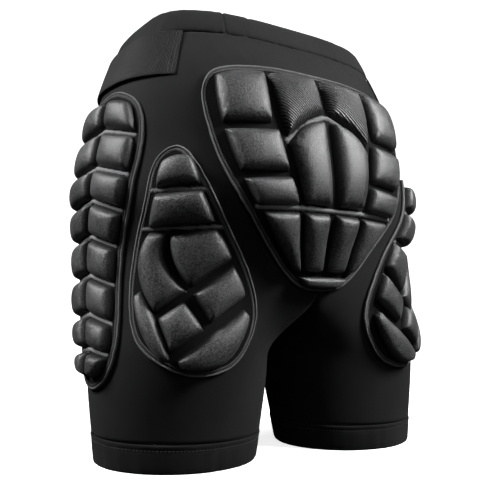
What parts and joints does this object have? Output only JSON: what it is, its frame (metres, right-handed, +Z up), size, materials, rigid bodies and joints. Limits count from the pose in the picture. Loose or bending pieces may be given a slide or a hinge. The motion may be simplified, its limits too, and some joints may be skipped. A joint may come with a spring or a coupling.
{
  "type": "padded impact shorts",
  "caption": "Close-fitting knit shorts with foam-block pads at the tailbone, hips and rear thighs, an elastic waistband and two waist straps that peel open.",
  "frame": {"origin": "middle of the shorts' footprint, on the plane of the hems, under the centre of the bounding box", "axes": "+Z up to the waist, -Y to the wearer's front, +X to the wearer's left"},
  "size_m": [0.4008, 0.2935, 0.427],
  "materials": {
    "knit": "matte black stretch jersey knit",
    "elastic": "woven elastic band",
    "strap_webbing": "ribbed black elastic webbing",
    "hook": "black hook tape",
    "loop": "brushed black loop tape",
    "backing": "black knit cover, stitched down in the channels",
    "binding": "black stretch binding with overlock thread",
    "foam": "closed-cell foam",
    "pad_cover": "black satin-faced knit stretched over the foam"
  },
  "bodies": {
    "shorts": {"left_leg_panel": "knit", "right_leg_panel": "knit", "left_inner_thigh": "knit", "right_inner_thigh": "knit", "left_hem": "knit", "right_hem": "knit", "waist_casing": "knit", "waist_elastic": "elastic", "left_loop_patch": "loop", "right_loop_patch": "loop", "tailbone_backing": "backing", "left_thigh_backing": "backing", "right_thigh_backing": "backing", "left_hip_backing": "backing", "right_hip_backing": "backing", "tailbone_binding": "binding", "left_thigh_binding": "binding", "right_thigh_binding": "binding", "left_hip_binding": "binding", "right_hip_binding": "binding", "tailbone_foam_top": "foam", "tailbone_foam_side": "foam", "tailbone_foam_centre": "foam", "tailbone_foam_fan": "foam", "tailbone_foam_tip": "foam", "left_thigh_foam_upper": "foam", "right_thigh_foam_upper": "foam", "left_thigh_foam_middle": "foam", "right_thigh_foam_middle": "foam", "left_thigh_foam_lower": "foam", "right_thigh_foam_lower": "foam", "left_hip_foam_rear": "foam", "right_hip_foam_rear": "foam", "left_hip_foam_front": "foam", "right_hip_foam_front": "foam", "tailbone_cover": "pad_cover", "left_thigh_cover": "pad_cover", "right_thigh_cover": "pad_cover", "left_hip_cover": "pad_cover", "right_hip_cover": "pad_cover"},
    "left_strap": {"left_waist_strap": "strap_webbing", "left_hook_tab": "hook"},
    "right_strap": {"right_waist_strap": "strap_webbing", "right_hook_tab": "hook"}
  },
  "joints": [
    {"name": "left_strap_peel", "type": "hinge", "parent": "shorts", "child": "left_strap", "pos_m": [0.12759, 0.05962, 0.37416], "axis": [-0.3003, -0.32, 0.8986], "range_deg": [0, 75]},
    {"name": "right_strap_peel", "type": "hinge", "parent": "shorts", "child": "right_strap", "pos_m": [-0.12759, 0.05962, 0.37416], "axis": [-0.3003, 0.32, -0.8986], "range_deg": [0, 75]}
  ]
}
